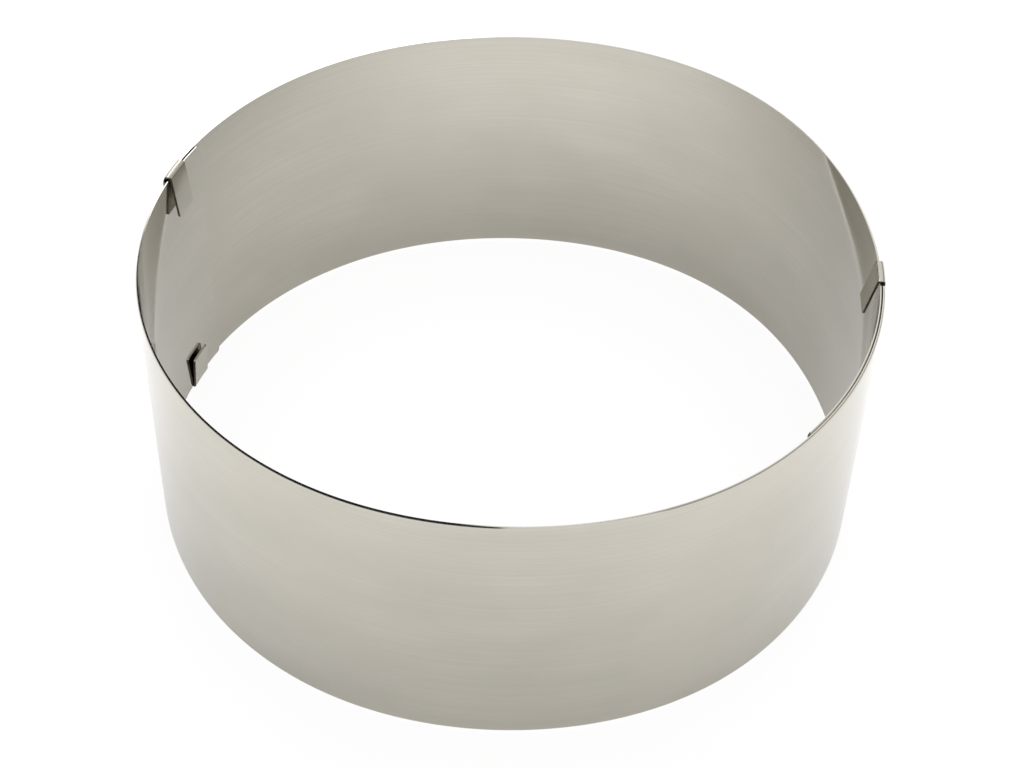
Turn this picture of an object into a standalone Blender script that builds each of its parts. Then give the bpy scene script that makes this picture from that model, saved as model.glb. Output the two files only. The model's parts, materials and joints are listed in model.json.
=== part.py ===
"""Adjustable cake ring: two strips of stainless sheet, rolled round and lapped at both ends.

Each strip has a lug end and a plain end. At the lug end, a top and a bottom lug are cut from the
sheet and folded inwards by half a turn, so that they run over the edges of the other strip and
guide it. The plain end runs inside the other strip. Each strip is rolled to a spiral that closes
in slowly from its lug end to its plain end. So the two nest without touching, and stay nested
while one slides round the other.

The ring's axis is Z, through the origin. It stands on its bottom lugs at z = 0. X points to the
right, where the front strip has its lugs, and Y points to the back.
"""

import math

import bmesh
import bpy

# The ring as it is set
RING_DIAMETER = 0.2138  # over the outer faces at the lug ends
BAND_HEIGHT = 0.085
LEFT_LAP_LENGTH = 0.0192  # the front strip's plain end inside the rear strip
RIGHT_LAP_LENGTH = 0.0776  # the rear strip's plain end inside the front strip
FRONT_LUG_ANGLE = math.radians(0.7)  # the front strip's lug end, counted from +X

# The sheet
SHEET = 0.0005
LAP_GAP = 0.0003  # clear space between lapped strips, and between a strip and a lug
DEBURR = 0.0001  # broken edge all round the cut sheet
END_CORNER = 0.001  # corner radius at both ends of a strip

# The lugs
LUG_WIDTH = 0.009
LUG_SETBACK = 0.001  # from the strip's end to the lug
LUG_CORNER = 0.0008  # corner radius of the folded flap
BEND_RADIUS = 0.0004  # inside radius of the fold's two bends
RELIEF_WIDTH = 0.0009  # relief cut beside the lug, where the bend would tear the sheet
RELIEF_DEPTH = 0.0025
FRONT_TOP_FLAP = 0.0125  # straight part of each flap, from the bend to its tip
REAR_TOP_FLAP = 0.0142
BOTTOM_FLAP = 0.0110
FRONT_TOP_LEAN = math.radians(12)  # how far each flap stands off the wall
REAR_TOP_LEAN = math.radians(6)
BOTTOM_LEAN = math.radians(4)

# How finely the curves are cut
STATION = 0.0019  # spacing of the stations along a strip
BEND_STEPS = 3  # per quarter turn
CORNER_STEPS = 3
MERGE = 0.00001  # points closer than this are one

# Angles taken up by the strips and their laps, measured on the sheet's middle
lug_radius = (RING_DIAMETER - SHEET) / 2
left_lap_angle = LEFT_LAP_LENGTH / lug_radius
right_lap_angle = RIGHT_LAP_LENGTH / lug_radius
sweep = math.pi + (left_lap_angle + right_lap_angle) / 2
band_length = sweep * lug_radius
rear_lug_angle = FRONT_LUG_ANGLE - sweep + left_lap_angle

# The spiral closes in by one sheet and one gap over the shorter way from lug to lug, and by
# a little more over the longer way, which sets how wide the folds are
nesting_step = SHEET + LAP_GAP
closing_per_radian = nesting_step / (sweep - max(left_lap_angle, right_lap_angle))
widest_step = closing_per_radian * (sweep - min(left_lap_angle, right_lap_angle))
fold_clear_width = widest_step + LAP_GAP
bend_middle = BEND_RADIUS + SHEET / 2
web_width = fold_clear_width - 2 * BEND_RADIUS

# Heights: the bottom lugs stand on z = 0, and the strips' edges are level with the bends' starts
band_bottom = BEND_RADIUS + SHEET
band_top = band_bottom + BAND_HEIGHT


def clear_scene():
    for item in list(bpy.data.objects):
        bpy.data.objects.remove(item, do_unlink=True)


def steel(name, colour, roughness):
    """Cold-rolled stainless with a fine satin finish."""
    material = bpy.data.materials.new(name)
    material.use_nodes = True
    shader = material.node_tree.nodes["Principled BSDF"]
    shader.inputs["Base Color"].default_value = (*colour, 1)
    shader.inputs["Metallic"].default_value = 1
    shader.inputs["Roughness"].default_value = roughness
    material.diffuse_color = (*colour, 1)
    return material


def corner_cut(distance, radius):
    """How far a rounded corner cuts the edge back, at a distance from the sheet's end."""
    if distance >= radius:
        return 0
    return radius - math.sqrt(radius**2 - (radius - distance) ** 2)


def corner_places(radius):
    """Distances from the end at which a rounded corner has its points."""
    turns = [math.pi / 2 * step / CORNER_STEPS for step in range(CORNER_STEPS + 1)]
    return [radius * (1 - math.cos(turn)) for turn in turns]


def even_places(start, end, spacing):
    """Places between start and end, both left out, at about this spacing."""
    count = max(1, math.ceil((end - start) / spacing))
    return [start + (end - start) * step / count for step in range(1, count)]


def fold(flap, lean):
    """A lug's section, from its first bend to the flap's tip, as (inwards, beyond the edge).

    Two quarter bends with a flat web between them, and a straight flap that leans off the wall.
    """
    points = []
    for step in range(1, BEND_STEPS + 1):
        turn = math.pi / 2 * step / BEND_STEPS
        points.append((bend_middle * (1 - math.cos(turn)), bend_middle * math.sin(turn)))
    last_turn = math.pi / 2 - lean
    for step in range(BEND_STEPS + 1):
        turn = last_turn * step / BEND_STEPS
        inwards = bend_middle + web_width + bend_middle * math.sin(turn)
        points.append((inwards, bend_middle * math.cos(turn)))
    inwards, beyond = points[-1]
    points.append((inwards + flap * math.sin(lean), beyond - flap * math.cos(lean)))
    return points


def lug_section(top_flap, top_lean, bottom_flap, bottom_lean):
    """A whole column through both lugs, from the bottom flap's tip up to the top flap's tip."""
    wall = [
        (0, band_bottom),
        (0, band_bottom + RELIEF_DEPTH),
        (0, band_top - RELIEF_DEPTH),
        (0, band_top),
    ]
    below = [(inwards, band_bottom - beyond) for inwards, beyond in fold(bottom_flap, bottom_lean)]
    above = [(inwards, band_top + beyond) for inwards, beyond in fold(top_flap, top_lean)]
    return below[::-1] + wall + above


def relief_places():
    """Where the quarter-round relief cut beside the lug has its points, and its depth at each."""
    turns = [math.pi / 2 * step / CORNER_STEPS for step in range(CORNER_STEPS + 1)]
    return [(RELIEF_WIDTH * math.sin(turn), RELIEF_DEPTH * math.cos(turn)) for turn in turns]


def strip_columns(top_flap, top_lean):
    """The flat strip as columns of (place along, section), in three runs that share their ends."""
    lug_start = LUG_SETBACK
    lug_end = lug_start + LUG_WIDTH
    setback_corner = min(END_CORNER, LUG_SETBACK)

    shoulder = []
    for along in corner_places(setback_corner) + even_places(setback_corner, lug_start, STATION):
        cut = corner_cut(along, setback_corner)
        section = [
            (0, band_bottom + cut),
            (0, band_bottom + RELIEF_DEPTH),
            (0, band_top - RELIEF_DEPTH),
            (0, band_top - cut),
        ]
        shoulder.append((along, section))
    if setback_corner < lug_start:
        shoulder.append((lug_start, shoulder[-1][1]))

    corner = corner_places(LUG_CORNER)
    places = [lug_start + place for place in corner]
    places += even_places(lug_start + LUG_CORNER, lug_end - LUG_CORNER, STATION)
    places += [lug_end - place for place in corner[::-1]]
    lug = []
    for along in places:
        cut = corner_cut(min(along - lug_start, lug_end - along), LUG_CORNER)
        lug.append((along, lug_section(top_flap - cut, top_lean, BOTTOM_FLAP - cut, BOTTOM_LEAN)))

    rest = []
    for past, depth in relief_places():
        rest.append((lug_end + past, [(0, band_bottom + depth), (0, band_top - depth)]))
    plain_corner = band_length - END_CORNER
    for along in even_places(lug_end + RELIEF_WIDTH, plain_corner, STATION):
        rest.append((along, [(0, band_bottom), (0, band_top)]))
    for place in corner_places(END_CORNER)[::-1]:
        cut = corner_cut(place, END_CORNER)
        rest.append((band_length - place, [(0, band_bottom + cut), (0, band_top - cut)]))
    return shoulder, lug, rest


def rolled(along, inwards, height, lug_angle):
    """A place on the flat strip, rolled up: clockwise from the lug end, closing in as it goes."""
    turned = along / lug_radius
    radius = lug_radius - closing_per_radian * turned - inwards
    angle = lug_angle - turned
    return (radius * math.cos(angle), radius * math.sin(angle), height)


def make_band(name, lug_angle, top_flap, top_lean, material):
    """One strip: its middle surface, rolled up, then thickened, with its cut edges broken."""
    mesh = bpy.data.meshes.new(name)
    shape = bmesh.new()
    for run in strip_columns(top_flap, top_lean):
        columns = []
        for along, section in run:
            places = [rolled(along, inwards, height, lug_angle) for inwards, height in section]
            columns.append([shape.verts.new(place) for place in places])
        for here, there in zip(columns, columns[1:]):
            for row in range(len(here) - 1):
                shape.faces.new((here[row], there[row], there[row + 1], here[row + 1]))
    bmesh.ops.remove_doubles(shape, verts=shape.verts, dist=MERGE)
    bmesh.ops.recalc_face_normals(shape, faces=shape.faces)
    shape.to_mesh(mesh)
    shape.free()
    mesh.shade_smooth()
    mesh.materials.append(material)

    band = bpy.data.objects.new(name, mesh)
    bpy.context.collection.objects.link(band)
    thicken = band.modifiers.new("sheet", "SOLIDIFY")
    thicken.thickness = SHEET
    thicken.offset = 0
    thicken.use_even_offset = True
    thicken.use_quality_normals = True
    deburr = band.modifiers.new("deburr", "BEVEL")
    deburr.width = DEBURR
    deburr.segments = 1
    deburr.limit_method = "ANGLE"
    deburr.angle_limit = math.radians(60)
    deburr.harden_normals = True
    tidy = band.modifiers.new("tidy", "WELD")
    tidy.merge_threshold = MERGE
    return band


clear_scene()
make_band(
    "front_band",
    FRONT_LUG_ANGLE,
    FRONT_TOP_FLAP,
    FRONT_TOP_LEAN,
    steel("satin_stainless_front", (0.62, 0.60, 0.57), 0.32),
)
make_band(
    "rear_band",
    rear_lug_angle,
    REAR_TOP_FLAP,
    REAR_TOP_LEAN,
    steel("satin_stainless_rear", (0.60, 0.58, 0.55), 0.32),
)
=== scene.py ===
"""Looks of an adjustable cake ring: two strips of stainless sheet, rolled round and lapped.

Each strip is a fine sheet with round bends, broken edges and a rolling grain that runs along it.
Lengths are in metres. Angles are in radians, but for those of the sky, which are in degrees.
"""

import json
import math

import bpy
import numpy as np
from mathutils import Matrix, Vector


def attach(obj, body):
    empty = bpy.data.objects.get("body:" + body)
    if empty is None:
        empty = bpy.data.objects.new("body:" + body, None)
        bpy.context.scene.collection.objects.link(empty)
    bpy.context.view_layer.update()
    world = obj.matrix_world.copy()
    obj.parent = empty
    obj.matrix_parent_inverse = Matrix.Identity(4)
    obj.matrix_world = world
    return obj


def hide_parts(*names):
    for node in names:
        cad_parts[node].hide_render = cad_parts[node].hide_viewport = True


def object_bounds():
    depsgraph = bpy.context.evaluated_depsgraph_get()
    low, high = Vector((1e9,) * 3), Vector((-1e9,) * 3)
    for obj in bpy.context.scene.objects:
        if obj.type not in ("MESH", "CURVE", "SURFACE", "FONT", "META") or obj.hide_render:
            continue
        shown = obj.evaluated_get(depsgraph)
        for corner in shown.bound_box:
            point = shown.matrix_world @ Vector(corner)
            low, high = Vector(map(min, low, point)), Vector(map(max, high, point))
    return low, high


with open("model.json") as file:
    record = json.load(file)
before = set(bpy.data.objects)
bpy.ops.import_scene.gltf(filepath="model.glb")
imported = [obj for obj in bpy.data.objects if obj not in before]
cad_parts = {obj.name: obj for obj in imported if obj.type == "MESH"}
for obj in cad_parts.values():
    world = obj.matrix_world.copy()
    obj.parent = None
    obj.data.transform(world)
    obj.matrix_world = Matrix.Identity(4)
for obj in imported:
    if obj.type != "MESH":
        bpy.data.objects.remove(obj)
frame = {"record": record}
cad_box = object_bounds()

# Front strip
# A strip of cold-rolled stainless sheet, cut to size on a shear and rolled to a little more than
# half a circle. At its lug end a top and a bottom lug, cut from the same sheet, are folded inwards
# over the rear strip's edges. Its plain end runs in the rear strip's lugs.
RING_DIAMETER = 0.2138
SHEET = 0.0005
LAP_GAP = 0.0003
LEFT_LAP_LENGTH = 0.0192
RIGHT_LAP_LENGTH = 0.0776
END_CORNER = 0.001
LUG_SETBACK = 0.001
LUG_WIDTH = 0.009
LUG_CORNER = 0.0008
BEND_RADIUS = 0.0004
RELIEF_WIDTH = 0.0009
RELIEF_DEPTH = 0.0025
BOTTOM_FLAP = 0.0110
BOTTOM_LEAN = math.radians(4)
FRONT_TOP_FLAP = 0.0125
FRONT_TOP_LEAN = math.radians(12)
FRONT_SWELL = -0.00101
FRONT_SKEW = -0.00062

# The sheet is drawn a little thicker than it is, with tighter bends, so that its rim shows. The
# shear has rolled its long edges over on the outer side, and each cut edge is broken.
DRAWN_SHEET = 0.0007
DRAWN_BEND = 0.00012
ROLL_HEIGHT = 0.0008
ROLL_DEPTH = 0.00055
ROLL_TURN = math.radians(75)
ROLL_START = 0.002
EDGE_ROUND = 0.00005
EDGE_STEPS = 2
EDGE_ANGLE = math.radians(22)
SEAM = 0.00001

# Points of the grids along each curve and stretch.
CORNER_POINTS = 6
BEND_POINTS = 7
FLAP_POINTS = 7
ROLL_POINTS = 8
WALL_ROWS = 24
LUG_COLUMNS = 16
WALL_COLUMNS = 372

ring_low, ring_high = cad_box
band_bottom = ring_low[2] + BEND_RADIUS + SHEET
band_top = ring_high[2] - BEND_RADIUS - SHEET
lug_radius = (RING_DIAMETER - SHEET) / 2
lug_end = LUG_SETBACK + LUG_WIDTH
left_lap = LEFT_LAP_LENGTH / lug_radius
right_lap = RIGHT_LAP_LENGTH / lug_radius
longest_lap = left_lap + right_lap - lug_end / lug_radius
sweep = math.pi + (left_lap + right_lap) / 2
strip_length = sweep * lug_radius
closing = (SHEET + LAP_GAP) / (sweep - max(left_lap, right_lap))
fold_clear_width = closing * (sweep - min(left_lap, right_lap)) + LAP_GAP
web_width = fold_clear_width + SHEET - DRAWN_SHEET - 2 * DRAWN_BEND


def lug_end_angle(mount):
    """The ring angle where a strip begins, half a lug and the setback past its bottom mount."""
    places = {item["name"]: item["pos_m"] for item in frame["record"]["mounts"]}
    x, y, _ = places[mount]
    return math.atan2(y, x) + (LUG_SETBACK + LUG_WIDTH / 2) / lug_radius


def quarter(points):
    """Angles over a quarter turn, evenly spaced."""
    return np.linspace(0, math.pi / 2, points)


def corner_places(radius):
    """Distances from an end, closer together at its tip: r (1 - cos t) over a quarter turn."""
    return radius * (1 - np.cos(quarter(CORNER_POINTS)))


def corner_cut(distance, radius):
    """How far a round corner cuts the edge back: r - sqrt(r2 - (r - d)2), and nothing past r."""
    left = np.clip(radius - distance, 0, radius)
    return radius - np.sqrt(radius**2 - left**2)


def fold(flap, lean):
    """A lug's section past the strip's edge, one row for each place along the strip.

    It is a quarter bend (b - b cos t, b sin t), the flat web w, a second bend
    (b + w + b sin t, b cos t) that stops short by the lean, and the straight flap. It gives the
    places inwards from the wall and beyond the edge, and the run, the length along the sheet.
    """
    first = quarter(BEND_POINTS)[1:]
    second = np.linspace(0, math.pi / 2 - lean, BEND_POINTS)
    past_web = DRAWN_BEND + web_width + DRAWN_BEND * np.sin(second)
    bend_inwards = np.concatenate([DRAWN_BEND * (1 - np.cos(first)), past_web])
    bend_beyond = np.concatenate([DRAWN_BEND * np.sin(first), DRAWN_BEND * np.cos(second)])
    bends = np.repeat(np.stack([bend_inwards, bend_beyond])[:, None], len(flap), axis=1)
    straight = flap[:, None] * np.linspace(0, 1, FLAP_POINTS)[1:]
    inwards = np.hstack([bends[0], bends[0][:, -1:] + straight * math.sin(lean)])
    beyond = np.hstack([bends[1], bends[1][:, -1:] - straight * math.cos(lean)])
    steps = np.hypot(np.diff(inwards, prepend=0), np.diff(beyond, prepend=0))
    return inwards, beyond, np.cumsum(steps, axis=1)


def wall_grid(along, cut, roll=0.0):
    """A plain stretch of the strip, from edge to edge, with both edges cut back.

    Towards an edge the sheet thins on its outer side, as the shear rolls it over: at a distance
    h (1 - sin t / sin T) from the edge it is d (1 - cos t) thinner, with t turning up to T.
    """
    turn = np.linspace(ROLL_TURN, 0, ROLL_POINTS)
    near = ROLL_HEIGHT * (1 - np.sin(turn) / math.sin(ROLL_TURN))
    near = near * (1 - cut[:, None] / RELIEF_DEPTH) + cut[:, None]
    rows = np.linspace(band_bottom + RELIEF_DEPTH, band_top - RELIEF_DEPTH, WALL_ROWS)
    middle = np.tile(rows, (len(along), 1))
    height = np.hstack([band_bottom + near, middle, band_top - near[:, ::-1]])
    thinner = np.concatenate([1 - np.cos(turn), 0 * rows, 1 - np.cos(turn[::-1])])
    thinner = ROLL_DEPTH * thinner * np.broadcast_to(roll, along.shape)[:, None]
    inwards, run = 0 * height, height
    return along, inwards, height, run, 1 - thinner / DRAWN_SHEET


def lug_grid(top_flap, top_lean):
    """The stretch with the lugs: each column runs from the bottom flap's tip to the top flap's."""
    corner = corner_places(LUG_CORNER)
    flat = np.linspace(LUG_SETBACK + LUG_CORNER, lug_end - LUG_CORNER, LUG_COLUMNS)
    along = np.concatenate([LUG_SETBACK + corner[:-1], flat, lug_end - corner[-2::-1]])
    cut = corner_cut(np.minimum(along - LUG_SETBACK, lug_end - along), LUG_CORNER)
    inwards, beyond, run = fold(top_flap - cut, top_lean)
    low_inwards, low_beyond, low_run = fold(BOTTOM_FLAP - cut, BOTTOM_LEAN)
    along, wall_inwards, height, wall_run, _ = wall_grid(along, 0 * along)
    inwards = np.hstack([low_inwards[:, ::-1], wall_inwards, inwards])
    height = np.hstack([band_bottom - low_beyond[:, ::-1], height, band_top + beyond])
    run = np.hstack([band_bottom - low_run[:, ::-1], wall_run, band_top + run])
    return along, inwards, height, run, np.ones_like(run)


def strip_grids(top_flap, top_lean):
    """The flat strip in three stretches: the end before the lugs, the lugs, and the rest.

    Past the lugs the relief cut runs back to the edge on a quarter of an ellipse,
    (a sin t, b cos t), and the rolled edge grows from there.
    """
    start = corner_places(END_CORNER)
    past_lugs = lug_end + RELIEF_WIDTH * np.sin(quarter(CORNER_POINTS))
    relief = RELIEF_DEPTH * np.cos(quarter(CORNER_POINTS))
    middle = np.linspace(past_lugs[-1], strip_length - END_CORNER, WALL_COLUMNS)[1:-1]
    end = strip_length - start[::-1]
    cut = np.concatenate([relief, 0 * middle, corner_cut(strip_length - end, END_CORNER)])
    rest = np.concatenate([past_lugs, middle, end])
    roll = np.clip((rest - past_lugs[-1]) / ROLL_START, 0, 1)
    return [
        wall_grid(start, corner_cut(start, END_CORNER)),
        lug_grid(top_flap, top_lean),
        wall_grid(rest, cut, roll),
    ]


def rolled(along, inwards, height, angle, swell, skew):
    """Rolls the sheet's inner face up clockwise: radius = r - closing x turn - inwards + spring.

    r is the lug end's radius less half the sheet, and the turn is the place along the strip over
    the lug radius. Between the laps the strip springs out of round by
    swell x sin2(pi s) + skew x sin(pi s) sin(2 pi s), with s from 0 to 1.
    """
    turn = along[:, None] / lug_radius
    share = np.clip((turn - longest_lap) / (sweep - 2 * longest_lap), 0, 1)
    bow = np.sin(math.pi * share)
    radius = lug_radius - closing * turn - DRAWN_SHEET / 2 - inwards
    radius = radius + swell * bow**2 + skew * bow * np.sin(2 * math.pi * share)
    return np.stack([radius * np.cos(angle - turn), radius * np.sin(angle - turn), height], axis=-1)


def inner_face(name, grids, angle, swell, skew):
    """The strip's inner face as a mesh, and the sheet's share of its thickness at each point.

    Its UV map is the flat strip itself: the place along it and the run across it.
    """
    points, quads, flat, fullness = [], [], [], []
    first = 0
    for along, inwards, height, run, full in grids:
        index = first + np.arange(height.size).reshape(height.shape)
        first += height.size
        corners = [index[:-1, :-1], index[1:, :-1], index[1:, 1:], index[:-1, 1:]]
        points.append(rolled(along, inwards, height, angle, swell, skew).reshape(-1, 3))
        quads.append(np.stack(corners, -1).reshape(-1, 4))
        flat.append(np.stack([np.broadcast_to(along[:, None], run.shape), run], -1).reshape(-1, 2))
        fullness.append(full.reshape(-1))
    points, quads, flat = np.concatenate(points), np.concatenate(quads), np.concatenate(flat)

    mesh = bpy.data.meshes.new(name)
    mesh.from_pydata(points.tolist(), [], quads.tolist())
    sheet_map = mesh.uv_layers.new(name="sheet")
    sheet_map.data.foreach_set("uv", flat[quads.reshape(-1)].reshape(-1))
    mesh.shade_smooth()
    return mesh, np.concatenate(fullness)


def make_strip(name, angle, top_flap, top_lean, swell, skew):
    """The strip's inner face, thickened outwards to the sheet, with broken cut edges.

    The shares of thickness are rounded to hundredths, and points of one share are set together.
    """
    mesh, fullness = inner_face(name, strip_grids(top_flap, top_lean), angle, swell, skew)
    fullness = np.round(fullness, 2)
    strip = bpy.data.objects.new(name, mesh)
    bpy.context.collection.objects.link(strip)
    thickness_share = strip.vertex_groups.new(name="thickness_share")
    for share in np.unique(fullness):
        thickness_share.add(np.flatnonzero(fullness == share).tolist(), share, "REPLACE")

    seams = strip.modifiers.new("seams", "WELD")
    seams.merge_threshold = SEAM
    thickness = strip.modifiers.new("sheet", "SOLIDIFY")
    thickness.thickness = DRAWN_SHEET
    thickness.vertex_group = thickness_share.name
    thickness.offset = -1
    thickness.use_even_offset = True
    thickness.use_quality_normals = True
    thickness.material_offset_rim = 1
    edge = strip.modifiers.new("broken_edge", "BEVEL")
    edge.width = EDGE_ROUND
    edge.segments = EDGE_STEPS
    edge.limit_method = "ANGLE"
    edge.angle_limit = EDGE_ANGLE
    edge.harden_normals = True
    return strip


def linear(colour):
    """An sRGB hex colour as linear values with an alpha of one."""
    part = np.array([int(colour[i:i + 2], 16) for i in (1, 3, 5)]) / 255
    return (*np.where(part <= 0.04045, part / 12.92, ((part + 0.055) / 1.055) ** 2.4), 1)


def add(tree, kind, settings=None, inputs=None):
    """Adds a node, with its settings by name and its inputs by name or place.

    An input given a socket, or a node for that node's first output, is linked to it. Any other
    input is set to what is given.
    """
    node = tree.nodes.new(kind)
    for name, value in (settings or {}).items():
        setattr(node, name, value)
    for name, source in (inputs or {}).items():
        if isinstance(source, bpy.types.Node):
            source = source.outputs[0]
        if isinstance(source, bpy.types.NodeSocket):
            tree.links.new(source, node.inputs[name])
        else:
            node.inputs[name].default_value = source
    return node


# Places of a Mix node's colour sockets.
COLOUR_A = 6
COLOUR_B = 7
MIXED_COLOUR = 2

# The usual low and high values of a noise.
NOISE_LOW = 0.3
NOISE_HIGH = 0.7

ROLLED_GREY = "#bbb7ad"
ROLLED_PALE = "#c3bfb5"
ROLLING_LINE = 0.0007
ROLLING_RUN = 0.11
CLOUD = 0.035
WAVE = 0.05
LINE_HEIGHT = 0.0000004
WAVE_HEIGHT = 0.00004
WORN_EDGE = 0.0006

# How far the haze is drawn out to one side, the turn that lays it across the rolling lines, and
# how strong it is between the lines, on them, in a full cloud and on a worn edge.
STREAKING = 0.8
ACROSS_THE_LINES = 0.25
BRIGHT_HAZE = 0.055
LINE_HAZE = 0.08
CLOUD_HAZE = 0.14
CLOUD_FULL = 1.2
WORN_HAZE = 0.24
TONE_LOW = 0.12
TONE_HIGH = 0.42


def cold_rolled_stainless():
    """Cold-rolled stainless, bright from the rolls: a warm grey mirror, sharp along the strip.

    Fine rolling lines run along the strip and haze its reflections across. Real lines are a few
    hundredths of a millimetre wide, and they are drawn at 0.7 mm so that they show. Clouds a few
    centimetres wide dull it in places, most of all along its worn long edges, and slow waves bend
    its reflections.
    """
    material = bpy.data.materials.new("cold_rolled_stainless")
    material.use_nodes = True
    tree = material.node_tree
    place = add(tree, "ShaderNodeUVMap", {"uv_map": "sheet"})
    # Each noise's size along the strip and across it, and its detail.
    sizes = [(ROLLING_RUN, ROLLING_LINE, 3), (CLOUD, CLOUD / 2, 2), (WAVE, WAVE, 0)]
    noises = []
    for along, across, detail in sizes:
        scale = (1 / along, 1 / across, 1)
        fitted = add(tree, "ShaderNodeMapping", None, {"Vector": place, "Scale": scale})
        noise = add(tree, "ShaderNodeTexNoise", None,
                    {"Vector": fitted, "Scale": 1, "Detail": detail})
        noises.append(noise)
    lines, clouds, waves = noises

    across = add(tree, "ShaderNodeSeparateXYZ", None, {0: place}).outputs["Y"]
    from_bottom = add(tree, "ShaderNodeMath", {"operation": "SUBTRACT"}, {0: across, 1: band_bottom})
    from_top = add(tree, "ShaderNodeMath", {"operation": "SUBTRACT"}, {0: band_top, 1: across})
    from_edge = add(tree, "ShaderNodeMath", {"operation": "MINIMUM"}, {0: from_bottom, 1: from_top})
    near_edge = add(tree, "ShaderNodeMapRange", {"interpolation_type": "SMOOTHSTEP"},
                    {"Value": from_edge, "From Min": WORN_EDGE, "From Max": 0})
    worn = add(tree, "ShaderNodeMath", {"operation": "MULTIPLY"}, {0: near_edge, 1: clouds})

    haze = add(tree, "ShaderNodeMapRange", None,
               {"Value": lines, "From Min": NOISE_LOW, "From Max": NOISE_HIGH,
                "To Min": BRIGHT_HAZE, "To Max": LINE_HAZE})
    haze = add(tree, "ShaderNodeMapRange", None,
               {"Value": clouds, "From Min": NOISE_LOW, "From Max": CLOUD_FULL,
                "To Min": haze, "To Max": CLOUD_HAZE})
    haze = add(tree, "ShaderNodeMix", None, {"Factor": worn, "A": haze, "B": WORN_HAZE})

    tone = add(tree, "ShaderNodeMath", {"operation": "MULTIPLY"}, {0: lines, 1: clouds})
    tone = add(tree, "ShaderNodeMapRange", None,
               {"Value": tone, "From Min": TONE_LOW, "From Max": TONE_HIGH})
    colour = add(tree, "ShaderNodeMix", {"data_type": "RGBA"},
                 {"Factor": tone, COLOUR_A: linear(ROLLED_GREY), COLOUR_B: linear(ROLLED_PALE)})

    line_height = add(tree, "ShaderNodeMath", {"operation": "MULTIPLY"}, {0: lines, 1: LINE_HEIGHT})
    height = add(tree, "ShaderNodeMath", {"operation": "MULTIPLY_ADD"},
                 {0: waves, 1: WAVE_HEIGHT, 2: line_height})
    bump = add(tree, "ShaderNodeBump", None, {"Height": height, "Strength": 1, "Distance": 1})
    grain = add(tree, "ShaderNodeTangent", {"direction_type": "UV_MAP", "uv_map": "sheet"})

    shader = tree.nodes["Principled BSDF"]
    shader.inputs["Metallic"].default_value = 1
    shader.inputs["Anisotropic"].default_value = STREAKING
    shader.inputs["Anisotropic Rotation"].default_value = ACROSS_THE_LINES
    tree.links.new(colour.outputs[MIXED_COLOUR], shader.inputs["Base Color"])
    tree.links.new(haze.outputs[0], shader.inputs["Roughness"])
    tree.links.new(grain.outputs[0], shader.inputs["Tangent"])
    tree.links.new(bump.outputs[0], shader.inputs["Normal"])
    return material


SHEARED_PALE = "#dcd8cf"
SHEARED_GREY = "#c4c0b7"
# The stamped edges' dark colour is painted shade, standing for the shade in the gap between lug and
# strip.
STAMPED_PAINTED_SHADE = "#5a554e"
SHEAR_MARK = 0.0005
BURNISHED_HAZE = 0.04
SHEARED_HAZE = 0.08
STAMPED_HAZE = 0.35
SLIT_FACING_UP = 0.75
STAMPED_FACING_UP = 0.35


def sheared_stainless_edge():
    """The cut edge of stainless sheet: pale and burnished on the long edges, which are slit.

    The upright edges of the lug end are stamped, torn and rougher. They are also painted dark: a
    painted shade for the gap between lug and strip. Shear marks about half a millimetre long
    mottle both.
    """
    material = bpy.data.materials.new("sheared_stainless_edge")
    material.use_nodes = True
    tree = material.node_tree
    place = add(tree, "ShaderNodeTexCoord").outputs["Object"]
    marks = add(tree, "ShaderNodeTexNoise", None,
                {"Vector": place, "Scale": 1 / SHEAR_MARK, "Detail": 2})
    slit = add(tree, "ShaderNodeMix", {"data_type": "RGBA"},
               {"Factor": marks, COLOUR_A: linear(SHEARED_GREY), COLOUR_B: linear(SHEARED_PALE)})

    facing = add(tree, "ShaderNodeNewGeometry").outputs["True Normal"]
    facing = add(tree, "ShaderNodeSeparateXYZ", None, {0: facing}).outputs["Z"]
    facing_up = add(tree, "ShaderNodeMath", {"operation": "ABSOLUTE"}, {0: facing})
    upright = add(tree, "ShaderNodeMapRange", None,
                  {"Value": facing_up, "From Min": SLIT_FACING_UP, "From Max": STAMPED_FACING_UP})
    sheet_place = add(tree, "ShaderNodeUVMap", {"uv_map": "sheet"})
    along = add(tree, "ShaderNodeSeparateXYZ", None, {0: sheet_place}).outputs["X"]
    lug_half = add(tree, "ShaderNodeMath", {"operation": "LESS_THAN"}, {0: along, 1: strip_length / 2})
    stamped_with_painted_shade = add(tree, "ShaderNodeMath", {"operation": "MULTIPLY"}, {0: upright, 1: lug_half})

    # Painted shade: the upright edges at the lug end are mixed towards the dark colour.
    colour = add(tree, "ShaderNodeMix", {"data_type": "RGBA"},
                 {"Factor": stamped_with_painted_shade, COLOUR_A: slit.outputs[MIXED_COLOUR],
                  COLOUR_B: linear(STAMPED_PAINTED_SHADE)})
    haze = add(tree, "ShaderNodeMapRange", None,
               {"Value": marks, "From Min": NOISE_LOW, "From Max": NOISE_HIGH,
                "To Min": BURNISHED_HAZE, "To Max": SHEARED_HAZE})
    haze = add(tree, "ShaderNodeMix", None, {"Factor": stamped_with_painted_shade, "A": haze, "B": STAMPED_HAZE})

    shader = tree.nodes["Principled BSDF"]
    shader.inputs["Metallic"].default_value = 1
    tree.links.new(colour.outputs[MIXED_COLOUR], shader.inputs["Base Color"])
    tree.links.new(haze.outputs[0], shader.inputs["Roughness"])
    return material


wall_steel = cold_rolled_stainless()
edge_steel = sheared_stainless_edge()
front_strip = make_strip("front_strip", lug_end_angle("right_foot"), FRONT_TOP_FLAP, FRONT_TOP_LEAN,
                         FRONT_SWELL, FRONT_SKEW)
front_strip.data.materials.append(wall_steel)
front_strip.data.materials.append(edge_steel)
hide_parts("front_band")
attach(front_strip, "front")

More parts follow.
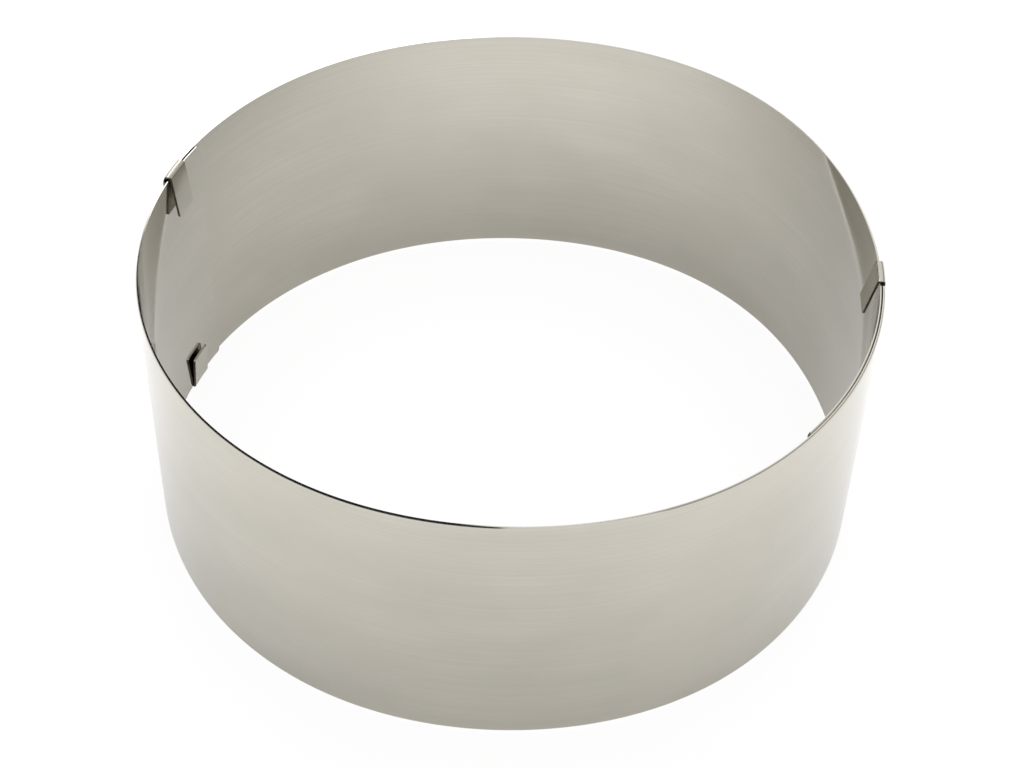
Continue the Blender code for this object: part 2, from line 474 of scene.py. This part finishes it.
# Rear strip
# The same strip turned half way round the ring, with its lugs at the left. Its top flap is a
# little longer and lies closer to the wall. Its plain end runs in the front strip's lugs.
REAR_TOP_FLAP = 0.0142
REAR_TOP_LEAN = math.radians(6)
REAR_SWELL = 0.00253
REAR_SKEW = -0.00119

rear_strip = make_strip("rear_strip", lug_end_angle("left_foot"), REAR_TOP_FLAP, REAR_TOP_LEAN,
                        REAR_SWELL, REAR_SKEW)
rear_strip.data.materials.append(wall_steel)
rear_strip.data.materials.append(edge_steel)
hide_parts("rear_band")
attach(rear_strip, "rear")

# Floor
# White paper, level with the undersides of the bottom lugs. The camera sees it nearly white, with
# a trace of the ring's shadow. The steel mirrors it as it is lit, with a share of that white.
FLOOR_HALF = 6.0
FLOOR_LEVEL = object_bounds()[0][2]
PAPER_WHITE = "#f6f6f6"
SEEN_SHADE = 0.08
MIRRORED_WHITE = 0.2

floor_mesh = bpy.data.meshes.new("floor")
corners = [(-1, -1), (1, -1), (1, 1), (-1, 1)]
floor_mesh.from_pydata([(x * FLOOR_HALF, y * FLOOR_HALF, FLOOR_LEVEL) for x, y in corners],
                       [], [(0, 1, 2, 3)])
floor = bpy.data.objects.new("floor", floor_mesh)
bpy.context.collection.objects.link(floor)
paper = bpy.data.materials.new("white_paper")
paper.use_nodes = True
tree = paper.node_tree
tree.nodes.clear()
lit = add(tree, "ShaderNodeBsdfDiffuse", None, {"Color": linear(PAPER_WHITE)})
shade = add(tree, "ShaderNodeBsdfDiffuse", None, {"Color": (SEEN_SHADE, SEEN_SHADE, SEEN_SHADE, 1)})
white = add(tree, "ShaderNodeEmission", None, {"Strength": 1 - SEEN_SHADE})
seen = add(tree, "ShaderNodeAddShader", None, {0: shade, 1: white})
ray = add(tree, "ShaderNodeLightPath").outputs
white_share = add(tree, "ShaderNodeMath", {"operation": "MULTIPLY_ADD"},
                  {0: ray["Is Glossy Ray"], 1: MIRRORED_WHITE, 2: ray["Is Camera Ray"]})
surface = add(tree, "ShaderNodeMixShader", None, {0: white_share, 1: lit, 2: seen})
add(tree, "ShaderNodeOutputMaterial", None, {"Surface": surface})
floor_mesh.materials.append(paper)

# Studio
# Light falls from a white dome overhead and from a white sheet behind the ring. The steel mirrors
# a plain white sky instead, with a brighter card low at the back left. Gaps in that sky, grey at
# the right and low at the left and black elsewhere, darken the edges and bends that face them.

# Azimuths run from the back towards the right and elevations up from the floor, in degrees. A
# gap's depth is the share of the white that it takes away.
DOME = {"elevation": (40, 100), "level": 1.9}
BACK_SHEET = {"azimuth": (-45, 45), "elevation": (0, 60), "level": 1.62}
LIGHT_SOFT = 5
MIRRORED_LEVEL = 1.15
LEFT_CARD = {"azimuth": (-45, -1), "elevation": (0, 39.5), "level": 1.6}
LEFT_GAP = {"azimuth": (-200, -20), "elevation": (15, 100), "depth": 1.0}
LEFT_LOW_GAP = {"azimuth": (-200, -20), "elevation": (-10, 15), "depth": 0.7}
BACK_GAP = {"azimuth": (-75, -1), "elevation": (39.5, 100), "depth": 1.0}
RIGHT_GAP = {"azimuth": (20, 140), "elevation": (-10, 100), "depth": 0.5}
MIRRORED_SOFT = 0.5

world = bpy.data.worlds.new("studio")
bpy.context.scene.world = world
world.use_nodes = True
tree = world.node_tree
direction = add(tree, "ShaderNodeTexCoord").outputs["Generated"]
axis = add(tree, "ShaderNodeSeparateXYZ", None, {0: direction}).outputs
azimuth = add(tree, "ShaderNodeMath", {"operation": "ARCTAN2"}, {0: axis["X"], 1: axis["Y"]})
elevation = add(tree, "ShaderNodeMath", {"operation": "ARCSINE"}, {0: axis["Z"]})


def between(angle, ends, soft):
    """One between two angles and nothing outside: a smooth rise at one x a fall at the other."""
    low, high = np.radians(ends)
    ramp = math.radians(soft)
    rise = add(tree, "ShaderNodeMapRange", {"interpolation_type": "SMOOTHSTEP"},
               {"Value": angle, "From Min": low - ramp, "From Max": low + ramp})
    fall = add(tree, "ShaderNodeMapRange", {"interpolation_type": "SMOOTHSTEP"},
               {"Value": angle, "From Min": high + ramp, "From Max": high - ramp})
    return add(tree, "ShaderNodeMath", {"operation": "MULTIPLY"}, {0: rise, 1: fall})


def sky_patch(patch, soft):
    """One in a patch of the sky and nothing outside: between its azimuths x its elevations."""
    sides = between(azimuth, patch["azimuth"], soft)
    heights = between(elevation, patch["elevation"], soft)
    return add(tree, "ShaderNodeMath", {"operation": "MULTIPLY"}, {0: sides, 1: heights})


dome = add(tree, "ShaderNodeMath", {"operation": "MULTIPLY"},
           {0: between(elevation, DOME["elevation"], LIGHT_SOFT), 1: DOME["level"]})
light = add(tree, "ShaderNodeMath", {"operation": "MULTIPLY_ADD"},
            {0: sky_patch(BACK_SHEET, LIGHT_SOFT), 1: BACK_SHEET["level"], 2: dome})
mirrored = add(tree, "ShaderNodeMath", {"operation": "MULTIPLY_ADD"},
               {0: sky_patch(LEFT_CARD, MIRRORED_SOFT), 1: LEFT_CARD["level"], 2: MIRRORED_LEVEL})
for gap in (LEFT_GAP, LEFT_LOW_GAP, BACK_GAP, RIGHT_GAP):
    dark = add(tree, "ShaderNodeMath", {"operation": "MULTIPLY"},
               {0: sky_patch(gap, MIRRORED_SOFT), 1: gap["depth"]})
    left_over = add(tree, "ShaderNodeMath", {"operation": "SUBTRACT"}, {0: 1, 1: dark})
    mirrored = add(tree, "ShaderNodeMath", {"operation": "MULTIPLY"}, {0: mirrored, 1: left_over})
ray = add(tree, "ShaderNodeLightPath").outputs
level = add(tree, "ShaderNodeMix", None, {"Factor": ray["Is Glossy Ray"], "A": light, "B": mirrored})
level = add(tree, "ShaderNodeMix", None, {"Factor": ray["Is Camera Ray"], "A": level, "B": 1})
background = tree.nodes["Background"]
background.inputs["Color"].default_value = (1, 1, 1, 1)
tree.links.new(level.outputs[0], background.inputs["Strength"])

# Camera
# The photograph's place: in front of the ring and well above it, with a long lens. The aim is off
# the ring's middle by a small pan, tilt and roll.
VIEW_ELEVATION = 0.76361
VIEW_DISTANCE = 0.61648
FOCAL_PIXELS = 2048.8
IMAGE_WIDTH = 1024
SENSOR_MILLIMETRES = 36
PAN = -0.0028
TILT = -0.01177
ROLL = 0.03019

middle = Vector((0, 0, (ring_low[2] + ring_high[2]) / 2))
towards_camera = Vector((0, -math.cos(VIEW_ELEVATION), math.sin(VIEW_ELEVATION)))
lens = bpy.data.cameras.new("camera")
lens.sensor_width = SENSOR_MILLIMETRES
lens.lens = FOCAL_PIXELS / IMAGE_WIDTH * SENSOR_MILLIMETRES
camera = bpy.data.objects.new("camera", lens)
bpy.context.collection.objects.link(camera)
look = Matrix.Rotation(math.pi / 2 - VIEW_ELEVATION, 4, "X")
aim = Matrix.Rotation(PAN, 4, "Y") @ Matrix.Rotation(TILT, 4, "X") @ Matrix.Rotation(ROLL, 4, "Z")
camera.matrix_world = Matrix.Translation(middle + VIEW_DISTANCE * towards_camera) @ look @ aim
bpy.context.scene.camera = camera

bpy.context.scene.view_settings.view_transform = "Standard"
